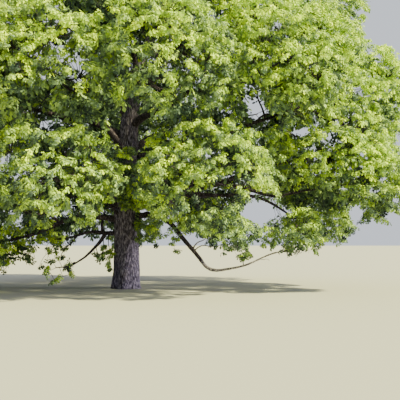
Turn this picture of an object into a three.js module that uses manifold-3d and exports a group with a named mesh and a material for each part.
// An open-grown oak in early-summer leaf. A short, thick trunk with a flared foot carries long, nearly
// level boughs, one of which sweeps down almost to the ground, and a broad crown of leafy masses.
// Millimetres, +Z up. The origin is the middle of the flat cut under the trunk.
import * as THREE from "three";
import { mergeVertices } from "three/addons/utils/BufferGeometryUtils.js";
import Module from "manifold-3d";

const wasm = await Module();
wasm.setup();

const METRE = 1000;
const UP = new THREE.Vector3(0, 0, 1);
const CLEAR = 0.3; // what two touching pieces keep between them
const CLEAN = 0.1; // how far a joined surface may move when its smallest faces are merged
const WELD = 0.01; // points nearer than this are one

// Headings are in degrees anticlockwise from +X, slopes in degrees above level, and heights, reaches and
// girths in metres, here and in the table of boughs.
// The trunk rises nearly straight to its fork, then runs on to the right as the main stem.
const TRUNK = {
  reach: 2, heading: 8, height: 14.6,
  leave: 90, arrive: 60, handles: [0.5, 0.32],
  girth: 1.3, tip: 0.16, sides: 16, steps: 14,
};
const TRUNK_TAPER_POWER = 1.6; // above 1, the trunk keeps its thickness as far as its main forks
const TRUNK_CROWDING = 1.5; // its rings lie closer together towards the foot, by this power
const FOOT = { spread: 0.12, height: 0.4, lobes: 5, lobeDepth: 0.06, lobeTurn: 0.6 };
const FORK = { swell: 0.09, height: 3.5, spread: 1.1 };

// Every bough by where its tip is, seen from the trunk's foot. "at" is the height on the trunk, or the share
// of another bough's length, where it leaves. Leave and arrive are the slopes of its two ends, girth its
// thickness at the root, and crown the radius of the leafy mass that it carries, whose middle lies from the
// tip along the slope "lift".
const BOUGHS = [
  {
    name: "low_sweep", on: "trunk", at: 3.45, heading: -28, reach: 4.3, height: 1.42,
    leave: 24, arrive: -52, girth: 0.34, tip: 0.19,
  },
  {
    name: "low_sweep_end", on: "low_sweep", at: 1, heading: -24, reach: 8.3, height: 1.9,
    arrive: 4, girth: 0.19, tip: 0.06, crown: 1.75, lift: 62,
  },
  {
    name: "right_main", on: "trunk", at: 4.2, heading: -9, reach: 8.0, height: 6.3,
    leave: 11, arrive: 10, girth: 0.5, crown: 3.7, lift: 10,
  },
  {
    name: "right_droop", on: "trunk", at: 3.85, heading: 8, reach: 8.6, height: 3.7,
    leave: 24, arrive: -36, girth: 0.34, crown: 2.7, lift: 14,
  },
  {
    name: "right_sag", on: "right_main", at: 0.62, heading: -15, reach: 10.6, height: 5.0,
    leave: -20, arrive: 10, girth: 0.22, crown: 2.5, lift: 0,
  },
  {
    name: "right_high", on: "trunk", at: 6.6, heading: 5, reach: 8.4, height: 9.2,
    leave: 12, arrive: 22, girth: 0.44, crown: 4.5, lift: 16,
  },
  {
    name: "front_right_high", on: "trunk", at: 8.2, heading: -36, reach: 6.5, height: 9.7,
    leave: 30, arrive: 8, girth: 0.42, crown: 4.2, lift: 14,
  },
  {
    name: "left_low", on: "trunk", at: 2.75, heading: 184, reach: 3.4, height: 2.5,
    leave: 10, arrive: -8, girth: 0.27, tip: 0.09, crown: 1.8, lift: -4,
  },
  {
    name: "left_hanging", on: "left_low", at: 0.3, heading: 200, reach: 2.7, height: 1.25,
    leave: -62, arrive: -30, girth: 0.19, tip: 0.09, crown: 1.2, lift: -10,
  },
  {
    name: "left_sweep", on: "trunk", at: 3.4, heading: 197, reach: 6.1, height: 2.35,
    leave: 14, arrive: -14, girth: 0.36, crown: 2.7, lift: -8,
  },
  {
    name: "left_front", on: "trunk", at: 4.0, heading: 213, reach: 7.3, height: 4.7,
    leave: 22, arrive: -4, girth: 0.4, crown: 3.5, lift: 4,
  },
  {
    name: "left_back", on: "trunk", at: 4.3, heading: 166, reach: 7.7, height: 4.2,
    leave: 16, arrive: -6, girth: 0.42, crown: 3.9, lift: 4,
  },
  {
    name: "left_high", on: "trunk", at: 7.5, heading: 178, reach: 6.7, height: 9.3,
    leave: 34, arrive: 2, girth: 0.5, crown: 4.3, lift: 12,
  },
  {
    name: "front", on: "trunk", at: 4.7, heading: 255, reach: 6.5, height: 4.7,
    leave: 14, arrive: 4, girth: 0.42, crown: 3.4, lift: 8,
  },
  {
    name: "front_right", on: "trunk", at: 4.1, heading: -61, reach: 6.0, height: 4.7,
    leave: 20, arrive: 0, girth: 0.42, crown: 3.5, lift: 6,
  },
  {
    name: "front_right_droop", on: "front_right", at: 0.6, heading: -48, reach: 6.1, height: 3.75,
    leave: -8, arrive: -40, girth: 0.18, tip: 0.1, crown: 1.9, lift: -25,
  },
  {
    name: "back_right", on: "trunk", at: 4.5, heading: 52, reach: 7.5, height: 4.9,
    leave: 18, arrive: -4, girth: 0.44, crown: 4.6, lift: 2,
  },
  {
    name: "back_left", on: "trunk", at: 4.9, heading: 112, reach: 7.5, height: 4.9,
    leave: 18, arrive: -4, girth: 0.42, crown: 4.6, lift: 2,
  },
  {
    name: "front_high", on: "trunk", at: 6.5, heading: 252, reach: 6.0, height: 8.9,
    leave: 32, arrive: 8, girth: 0.4, crown: 4.2, lift: 14,
  },
  {
    name: "front_middle", on: "front_right_high", at: 0.3, heading: -72, reach: 6.3, height: 9.4,
    leave: 20, arrive: 8, girth: 0.26, crown: 3.8, lift: 12,
  },
  {
    name: "left_front_high", on: "left_high", at: 0.35, heading: 213, reach: 6.7, height: 9.3,
    leave: 20, arrive: 6, girth: 0.28, crown: 4.25, lift: 12,
  },
  {
    name: "back_right_high", on: "trunk", at: 6.9, heading: 44, reach: 6.6, height: 9.4,
    leave: 32, arrive: 6, girth: 0.4, crown: 4.35, lift: 12,
  },
  {
    name: "back_high", on: "trunk", at: 7.5, heading: 92, reach: 6.4, height: 9.4,
    leave: 26, arrive: 6, girth: 0.4, crown: 4.35, lift: 12,
  },
  {
    name: "back_left_high", on: "left_high", at: 0.3, heading: 137, reach: 6.7, height: 9.4,
    leave: 24, arrive: 6, girth: 0.3, crown: 4.35, lift: 12,
  },
  {
    name: "leader_left", on: "trunk", at: 8.5, heading: 196, reach: 1.5, height: 14.2,
    leave: 62, arrive: 74, girth: 0.46, crown: 4.3, lift: 76,
  },
  {
    name: "upper_front", on: "trunk", at: 9.9, heading: -82, reach: 3.5, height: 13.2,
    leave: 40, arrive: 26, girth: 0.28, crown: 4.3, lift: 24,
  },
  {
    name: "upper_right", on: "trunk", at: 10.8, heading: -8, reach: 5.7, height: 13.4,
    leave: 34, arrive: 18, girth: 0.26, crown: 4.3, lift: 20,
  },
  {
    name: "upper_back", on: "leader_left", at: 0.32, heading: 92, reach: 3.6, height: 13.4,
    leave: 38, arrive: 26, girth: 0.28, crown: 4.35, lift: 24,
  },
  {
    name: "upper_left", on: "leader_left", at: 0.5, heading: 186, reach: 5.1, height: 13.1,
    leave: 32, arrive: 18, girth: 0.24, crown: 4.3, lift: 20,
  },
];
const TIP_SHARE = 0.32; // a bough's tip against its root, where no tip is given
const TAPER_POWER = 0.8; // below 1, a bough thins faster near its root
const COLLAR = { swell: 0.3, length: 0.3 }; // a bough's root is thicker, over about this length
const HANDLES = [0.4, 0.38]; // how far each end holds its slope, as a share of the span
const SWAY = { depth: 0.028, sideWaves: 1.5, upWaves: 1.1 }; // how a bough wanders from its curve
const BOUGH_SIDES = 6;
const RING_SPACING = 0.95;
const FEWEST_RINGS = 4;

// Two masses grow from the trunk itself: one low in front of it, and one round its tip.
const FRONT_MASS = {
  name: "trunk_front", at: 4.6, heading: -46, leave: 15, reach: 3.3, height: 4.4, crown: 2.5, girth: 0.14,
};
const TOP_MASS = { name: "leader_right", crown: 4.2, lift: 74 };

// A mass of leaves is a flattened ball round a point ahead of its bough's tip, cut off where it meets its
// neighbours. Twigs branch in it from one stem and end in broad blades, one for each spray of leaves.
const MASS = { squash: 0.8, ahead: 0.62, gap: 0.06 };
const STEM = { beyond: 0.3, taper: 0.5, steps: 2, sides: 4 };
const TWIG = { least: 4, perMetre: 0.8, reach: [0.5, 0.62], girth: 0.55, taper: 0.6, sides: 3 };
const SPRINGS = [0.35, 0.5, 0.65, 0.8, 0.95]; // shares of a stem's length where twigs may leave it
const TESTED = [0.3, 0.5, 0.75, 1]; // shares of a twig's length where its way is tested
const BLADE = { length: 0.56, width: 0.7, widest: 0.58, thickness: 0.04, sideways: 2.2, stray: 0.8 };
const BLADE_PLACES = [1, 0.6]; // shares of a twig's length where its blades sit
const BLADE_TESTED = [0.35, 0.58, 0.8]; // shares of a blade's length where its two edges are tested
const KEEP_OFF = 0.14; // twigs and blades stay this far from the limbs
const TRIALS = [1, 0.84, 0.7, 0.56]; // shares of its length that a twig or blade is tried at
const NEAR = 1.2; // a mass minds the limbs within this many of its radii

// Where the sky shows through the crown, as ellipses on the upright plane of the trunk seen from in front.
const VIEWPOINT = new THREE.Vector3(3.72, -38, 2.3).multiplyScalar(METRE);
const SKY_GAPS = [
  { across: 6.35, height: 9.3, halfWidth: 0.42, halfHeight: 0.75 },
  { across: 8.8, height: 8.15, halfWidth: 0.75, halfHeight: 0.3 },
  { across: 6.6, height: 4, halfWidth: 0.75, halfHeight: 0.65 },
  { across: 11.7, height: 3.75, halfWidth: 0.35, halfHeight: 0.6 },
  { across: -4.2, height: 8.6, halfWidth: 0.45, halfHeight: 0.28 },
];

const SEED = { step: 7919, start: 12345, boughs: 100, masses: 500 };
const BARK = { color: 0x4d4540, roughness: 0.95, metalness: 0 };
const LEAF = { color: 0x86a832, roughness: 0.6, metalness: 0 };

// The same row of numbers from 0 to 1 each time for the same seed.
function seeded(seed) {
  let state = seed * SEED.step + SEED.start;
  const next = () => {
    state = (state * 48271) % 2147483647;
    return state / 2147483647;
  };
  next();
  return next;
}

function aim(heading, slope) {
  const turn = THREE.MathUtils.degToRad(heading);
  const rise = THREE.MathUtils.degToRad(slope);
  return new THREE.Vector3(Math.cos(turn) * Math.cos(rise), Math.sin(turn) * Math.cos(rise), Math.sin(rise));
}

function placed({ heading, reach, height }) {
  return aim(heading, 0).multiplyScalar(reach).setZ(height).multiplyScalar(METRE);
}

function headingOf(direction) {
  return THREE.MathUtils.radToDeg(Math.atan2(direction.y, direction.x));
}

// Stations along a line of points: each has its direction, and a side vector that never spins.
function withFrames(points, leave, arrive) {
  const last = points.length - 1;
  const steep = Math.abs(leave.z) > 0.95;
  let side = new THREE.Vector3().crossVectors(leave, steep ? new THREE.Vector3(0, 1, 0) : UP);
  return points.map((point, step) => {
    let along = leave;
    if (step === last) along = arrive;
    else if (step > 0) along = points[step + 1].clone().sub(points[step - 1]).normalize();
    side = side.clone().addScaledVector(along, -side.dot(along)).normalize();
    return { point, along, side, share: step / last };
  });
}

// A limb's line: a cubic curve that holds the given slopes at its ends and wanders a little between them.
function limbLine({ root, tip, leave, arrive, steps, handles = HANDLES, phases = null }) {
  const span = root.distanceTo(tip);
  const curve = new THREE.CubicBezierCurve3(
    root,
    root.clone().addScaledVector(leave, span * handles[0]),
    tip.clone().addScaledVector(arrive, -span * handles[1]),
    tip,
  );
  const points = Array.from({ length: steps + 1 }, (_, step) => curve.getPoint(step / steps));
  if (phases) {
    const across = tip.clone().sub(root).cross(UP).normalize();
    points.forEach((point, step) => {
      const turn = (2 * Math.PI * step) / steps;
      const wander = SWAY.depth * span * Math.sin(turn / 2) ** 2;
      point.addScaledVector(across, wander * Math.sin(SWAY.sideWaves * turn + phases[0]));
      point.addScaledVector(UP, wander * Math.sin(SWAY.upWaves * turn + phases[1]));
    });
  }
  return { stations: withFrames(points, leave, arrive), span };
}

// The point and direction at a share of a limb's length.
function stationAt(limb, share) {
  const after = Math.max(1, limb.stations.findIndex((station) => station.share >= share));
  const a = limb.stations[after - 1];
  const b = limb.stations[after];
  return {
    point: a.point.clone().lerp(b.point, (share - a.share) / (b.share - a.share)),
    along: b.point.clone().sub(a.point).normalize(),
  };
}

function shareAtHeight(limb, height) {
  const after = limb.stations.findIndex((station) => station.point.z >= height * METRE);
  const a = limb.stations[after - 1];
  const b = limb.stations[after];
  return THREE.MathUtils.mapLinear(height * METRE, a.point.z, b.point.z, a.share, b.share);
}

// A closed tube round a limb's line: a cylinder whose rings are carried onto the stations.
function limbGeometry(limb, extra = 0) {
  const steps = limb.stations.length - 1;
  const geometry = new THREE.CylinderGeometry(1, 1, 1, limb.sides, steps);
  const position = geometry.getAttribute("position");
  const local = new THREE.Vector3();
  for (let i = 0; i < position.count; i++) {
    local.fromBufferAttribute(position, i);
    const { point, along, side, share } = limb.stations[Math.round((local.y + 0.5) * steps)];
    const up = side.clone().cross(along);
    const radius = limb.radiusAt(share, Math.atan2(local.z, local.x)) + extra;
    const moved = point.clone().addScaledVector(side, local.x * radius).addScaledVector(up, local.z * radius);
    position.setXYZ(i, moved.x, moved.y, moved.z);
  }
  return geometry;
}

function solidOf(geometry) {
  geometry.deleteAttribute("normal");
  geometry.deleteAttribute("uv");
  const merged = mergeVertices(geometry, WELD);
  const mesh = new wasm.Mesh({
    numProp: 3,
    vertProperties: merged.getAttribute("position").array,
    triVerts: new Uint32Array(merged.index.array),
  });
  return new wasm.Manifold(mesh);
}

// The largest body of a solid, tidied, without scraps.
function mainBody(solid) {
  const bodies = solid.simplify(CLEAN).decompose();
  return bodies.reduce((most, body) => (body.volume() > most.volume() ? body : most));
}

function meshOf(name, solid, look) {
  const { vertProperties, triVerts } = solid.getMesh();
  const geometry = new THREE.BufferGeometry();
  geometry.setAttribute("position", new THREE.BufferAttribute(vertProperties, 3));
  geometry.setIndex(new THREE.BufferAttribute(triVerts, 1));
  geometry.computeVertexNormals();
  const mesh = new THREE.Mesh(geometry, new THREE.MeshStandardMaterial(look));
  mesh.name = name;
  return mesh;
}

function trunkRadius(share, angle) {
  const height = TRUNK.height * share;
  const taper = THREE.MathUtils.lerp(TRUNK.girth, TRUNK.tip, share ** TRUNK_TAPER_POWER) / 2;
  const swell = FORK.swell * Math.exp(-(((height - FORK.height) / FORK.spread) ** 2));
  const lobes = FOOT.lobeDepth * Math.cos(FOOT.lobes * angle + FOOT.lobeTurn);
  return METRE * (taper + swell + (FOOT.spread + lobes) * Math.exp(-height / FOOT.height));
}

function makeTrunk() {
  const leave = aim(TRUNK.heading, TRUNK.leave);
  const arrive = aim(TRUNK.heading, TRUNK.arrive);
  const even = limbLine({
    root: new THREE.Vector3(),
    tip: placed(TRUNK),
    leave,
    arrive,
    handles: TRUNK.handles,
    steps: 4 * TRUNK.steps,
  });
  const shares = Array.from({ length: TRUNK.steps + 1 }, (_, step) => (step / TRUNK.steps) ** TRUNK_CROWDING);
  const points = shares.map((share) => stationAt(even, share).point);
  const stations = withFrames(points, UP, arrive);
  stations.forEach((station, step) => {
    station.share = shares[step];
  });
  return { name: "trunk", stations, sides: TRUNK.sides, radiusAt: trunkRadius };
}

function makeBough(row, order, limbs) {
  const parent = limbs.find((limb) => limb.name === row.on);
  const endOn = parent.name !== "trunk" && row.at === 1;
  const start = stationAt(parent, parent.name === "trunk" ? shareAtHeight(parent, row.at) : row.at);
  const onward = parent.stations.at(-1).along;
  const root = endOn ? start.point.addScaledVector(onward, CLEAR) : start.point;
  const tip = placed(row);
  const heading = headingOf(tip.clone().sub(root));
  const random = seeded(SEED.boughs + order);
  const { stations, span } = limbLine({
    root,
    tip,
    leave: endOn ? onward : aim(heading, row.leave),
    arrive: aim(heading, row.arrive),
    steps: Math.max(FEWEST_RINGS, Math.round(root.distanceTo(tip) / METRE / RING_SPACING)),
    phases: [2 * Math.PI * random(), 2 * Math.PI * random()],
  });
  const rootRadius = (row.girth / 2) * METRE;
  const tipRadius = rootRadius * (row.tip ? row.tip / row.girth : TIP_SHARE);
  const collar = endOn ? 0 : COLLAR.swell * rootRadius;
  const fade = COLLAR.length * METRE + rootRadius;
  const radiusAt = (share) => {
    const taper = THREE.MathUtils.lerp(rootRadius, tipRadius, share ** TAPER_POWER);
    return taper + collar * Math.exp((-share * span) / fade);
  };
  return { name: row.name, stations, sides: BOUGH_SIDES, radiusAt, endOn: endOn ? parent : null, row };
}

// The ball of each mass, and how its stem starts: from its limb's tip, or from inside the trunk.
function massAtTip(limb, { name, crown, lift }) {
  const { point, along } = limb.stations.at(-1);
  const radius = crown * METRE;
  const centre = point.clone().addScaledVector(aim(headingOf(along), lift), radius * MASS.ahead);
  const root = point.clone().addScaledVector(along, CLEAR);
  return { name, centre, radius, root, leave: along, stemRadius: limb.radiusAt(1, 0), tipOf: limb };
}

function massOnTrunk(trunk, row) {
  const { point } = stationAt(trunk, shareAtHeight(trunk, row.at));
  return {
    name: row.name,
    centre: placed(row),
    radius: row.crown * METRE,
    root: point,
    leave: aim(row.heading, row.leave),
    stemRadius: (row.girth / 2) * METRE,
    tipOf: null,
  };
}

// How far a point is inside a mass's ball, as the square of a length: less is further in.
function depthIn(mass, point) {
  const across = point.clone().sub(mass.centre);
  return across.x ** 2 + across.y ** 2 + (across.z / MASS.squash) ** 2 - mass.radius ** 2;
}

// A mass keeps to its own cell: inside its ball, and deeper in it than in any neighbour's.
function inCell(mass, point) {
  const depth = depthIn(mass, point);
  if (depth > 0) return false;
  return mass.neighbours.every(
    (other) => depthIn(other, point) - depth > 2 * MASS.gap * METRE * other.centre.distanceTo(mass.centre),
  );
}

function distanceToLimb(limb, point) {
  let least = Infinity;
  for (let step = 1; step < limb.stations.length; step++) {
    const a = limb.stations[step - 1];
    const b = limb.stations[step];
    const line = new THREE.Line3(a.point, b.point);
    const share = line.closestPointToPointParameter(point, true);
    const radius = limb.radiusAt(THREE.MathUtils.lerp(a.share, b.share, share), 0);
    least = Math.min(least, point.distanceTo(line.at(share, new THREE.Vector3())) - radius);
  }
  return least;
}

function inSkyGap(point) {
  const share = -VIEWPOINT.y / (point.y - VIEWPOINT.y);
  const seen = VIEWPOINT.clone().lerp(point, share).divideScalar(METRE);
  return SKY_GAPS.some(
    (gap) => ((seen.x - gap.across) / gap.halfWidth) ** 2 + ((seen.z - gap.height) / gap.halfHeight) ** 2 < 1,
  );
}

function isFree(mass, point) {
  if (!inCell(mass, point) || inSkyGap(point)) return false;
  return mass.limbs.every((limb) => distanceToLimb(limb, point) > KEEP_OFF * METRE);
}

// Evenly spread directions, on a spiral from the top of a ball to its foot.
function spiralDirection(index, count, turn) {
  const height = 1 - (2 * (index + 0.5)) / count;
  const ring = Math.sqrt(1 - height ** 2);
  const angle = index * Math.PI * (3 - Math.sqrt(5)) + turn;
  return new THREE.Vector3(ring * Math.cos(angle), ring * Math.sin(angle), height);
}

function makeStem(mass) {
  const inward = mass.centre.clone().sub(mass.root);
  const { stations } = limbLine({
    root: mass.root,
    tip: mass.centre.clone().addScaledVector(inward, STEM.beyond),
    leave: mass.leave,
    arrive: inward.clone().normalize(),
    steps: STEM.steps,
  });
  const radiusAt = (share) => mass.stemRadius * THREE.MathUtils.lerp(1, STEM.taper, share);
  return { stations, sides: STEM.sides, radiusAt };
}

// Twigs spring from the stem towards points spread evenly in the ball. One that would leave its cell, touch
// a limb or cross a gap is shortened, or left out.
function makeTwigs(mass, stem, random) {
  const count = Math.round(TWIG.least + (TWIG.perMetre * mass.radius) / METRE);
  const turn = 2 * Math.PI * random();
  const twigs = [];
  for (let index = 0; index < count; index++) {
    const reach = mass.radius * THREE.MathUtils.lerp(...TWIG.reach, random());
    const target = spiralDirection(index, count, turn).multiplyScalar(reach);
    target.z *= MASS.squash;
    target.add(mass.centre);
    const farFrom = (share) => stationAt(stem, share).point.distanceTo(target);
    const share = SPRINGS.reduce((best, trial) => (farFrom(trial) < farFrom(best) ? trial : best));
    const root = stationAt(stem, share).point;
    const length = TRIALS.find((trial) =>
      TESTED.every((tested) => isFree(mass, root.clone().lerp(target, trial * tested))),
    );
    if (!length) continue;
    const tip = root.clone().lerp(target, length);
    const along = tip.clone().sub(root).normalize();
    const girth = stem.radiusAt(share) * TWIG.girth;
    const radiusAt = (place) => girth * THREE.MathUtils.lerp(1, TWIG.taper, place);
    const { stations } = limbLine({ root, tip, leave: along, arrive: along, steps: 1 });
    const solid = solidOf(limbGeometry({ stations, sides: TWIG.sides, radiusAt }));
    twigs.push({ stations, along, radiusAt, solid });
  }
  return twigs;
}

// A blade is a flat leaf shape of eight faces, pointed at both ends and widest past its middle.
function makeBlade(root, along, normal, length) {
  const side = along.clone().cross(normal).normalize();
  const face = side.clone().cross(along).normalize();
  const at = (share, across) =>
    root
      .clone()
      .addScaledVector(along, length * share)
      .addScaledVector(side, (length * BLADE.width * across) / 2);
  const geometry = new THREE.OctahedronGeometry(1, 0);
  const position = geometry.getAttribute("position");
  const corner = new THREE.Vector3();
  for (let i = 0; i < position.count; i++) {
    corner.fromBufferAttribute(position, i);
    const share = corner.y === 0 ? BLADE.widest : (corner.y + 1) / 2;
    const moved = at(share, corner.x).addScaledVector(face, (corner.z * length * BLADE.thickness) / 2);
    position.setXYZ(i, moved.x, moved.y, moved.z);
  }
  const edges = BLADE_TESTED.flatMap((share) => [at(share, -1), at(share, 0), at(share, 1)]);
  return { tested: [...edges, at(1, 0)], geometry };
}

function strayed(direction, random, amount) {
  const stray = new THREE.Vector3(random(), random(), random()).subScalar(0.5);
  return direction.clone().addScaledVector(stray, amount);
}

function meets(solid, others) {
  return others.some((other) => !solid.intersect(other).isEmpty());
}

// Each twig ends in a blade and has one more at its side. One that would leave the cell or touch a limb, or
// the blade or twig of another, is made smaller, or left out.
function makeBlades(mass, twigs, random) {
  const blades = [];
  for (const twig of twigs) {
    const others = [
      ...mass.limbs.map((limb) => limb.grown),
      ...twigs.filter((other) => other !== twig).map((other) => other.solid),
      ...blades.filter((blade) => blade.twig !== twig).map((blade) => blade.solid),
    ];
    for (const place of BLADE_PLACES) {
      const { point } = stationAt(twig, place);
      const outward = point.clone().sub(mass.centre).normalize();
      const lean = twig.along.clone().cross(UP).multiplyScalar(place < 1 ? BLADE.sideways : 0);
      const along = strayed(outward.clone().add(twig.along).add(lean), random, BLADE.stray).normalize();
      const normal = strayed(UP.clone().addScaledVector(outward, 0.5), random, 1);
      const root = place < 1 ? point : point.addScaledVector(twig.along, -twig.radiusAt(1));
      for (const trial of TRIALS) {
        const { tested, geometry } = makeBlade(root, along, normal, mass.radius * BLADE.length * trial);
        if (!tested.every((corner) => isFree(mass, corner))) continue;
        const solid = solidOf(geometry);
        if (meets(solid, others)) continue;
        blades.push({ twig, solid });
        break;
      }
    }
  }
  return blades;
}

const tree = new THREE.Group();
const trunk = makeTrunk();
const limbs = [trunk];
BOUGHS.forEach((row, order) => limbs.push(makeBough(row, order, limbs)));

// Each limb is cut clear of the ones before it, which shapes its root to the limb that it leaves.
limbs.forEach((limb, order) => {
  const earlier = limbs.slice(0, order).filter((other) => other !== limb.endOn);
  const whole = solidOf(limbGeometry(limb));
  const solid = mainBody(earlier.reduce((rest, other) => rest.subtract(other.grown), whole));
  limb.grown = solidOf(limbGeometry(limb, CLEAR));
  tree.add(meshOf(limb === trunk ? "trunk" : `bough_${limb.name}`, solid, BARK));
});

const masses = [
  ...limbs.filter((limb) => limb.row?.crown).map((limb) => massAtTip(limb, limb.row)),
  massOnTrunk(trunk, FRONT_MASS),
  massAtTip(trunk, TOP_MASS),
];
for (const mass of masses) {
  const isNear = (other) => other.centre.distanceTo(mass.centre) < other.radius + mass.radius;
  mass.neighbours = masses.filter((other) => other !== mass && isNear(other));
  mass.limbs = limbs.filter((limb) => distanceToLimb(limb, mass.centre) < NEAR * mass.radius);
}

masses.forEach((mass, order) => {
  const random = seeded(SEED.masses + order);
  const stem = makeStem(mass);
  const twigs = makeTwigs(mass, stem, random);
  const blades = makeBlades(mass, twigs, random);
  const pieces = [...twigs, ...blades].map((piece) => piece.solid);
  const joined = mainBody(wasm.Manifold.union([solidOf(limbGeometry(stem)), ...pieces]));
  const crossed = mass.limbs.filter((limb) => limb !== mass.tipOf);
  const solid = crossed.reduce((rest, limb) => rest.subtract(limb.grown), joined);
  tree.add(meshOf(`foliage_${mass.name}`, mainBody(solid), LEAF));
});

export default tree;
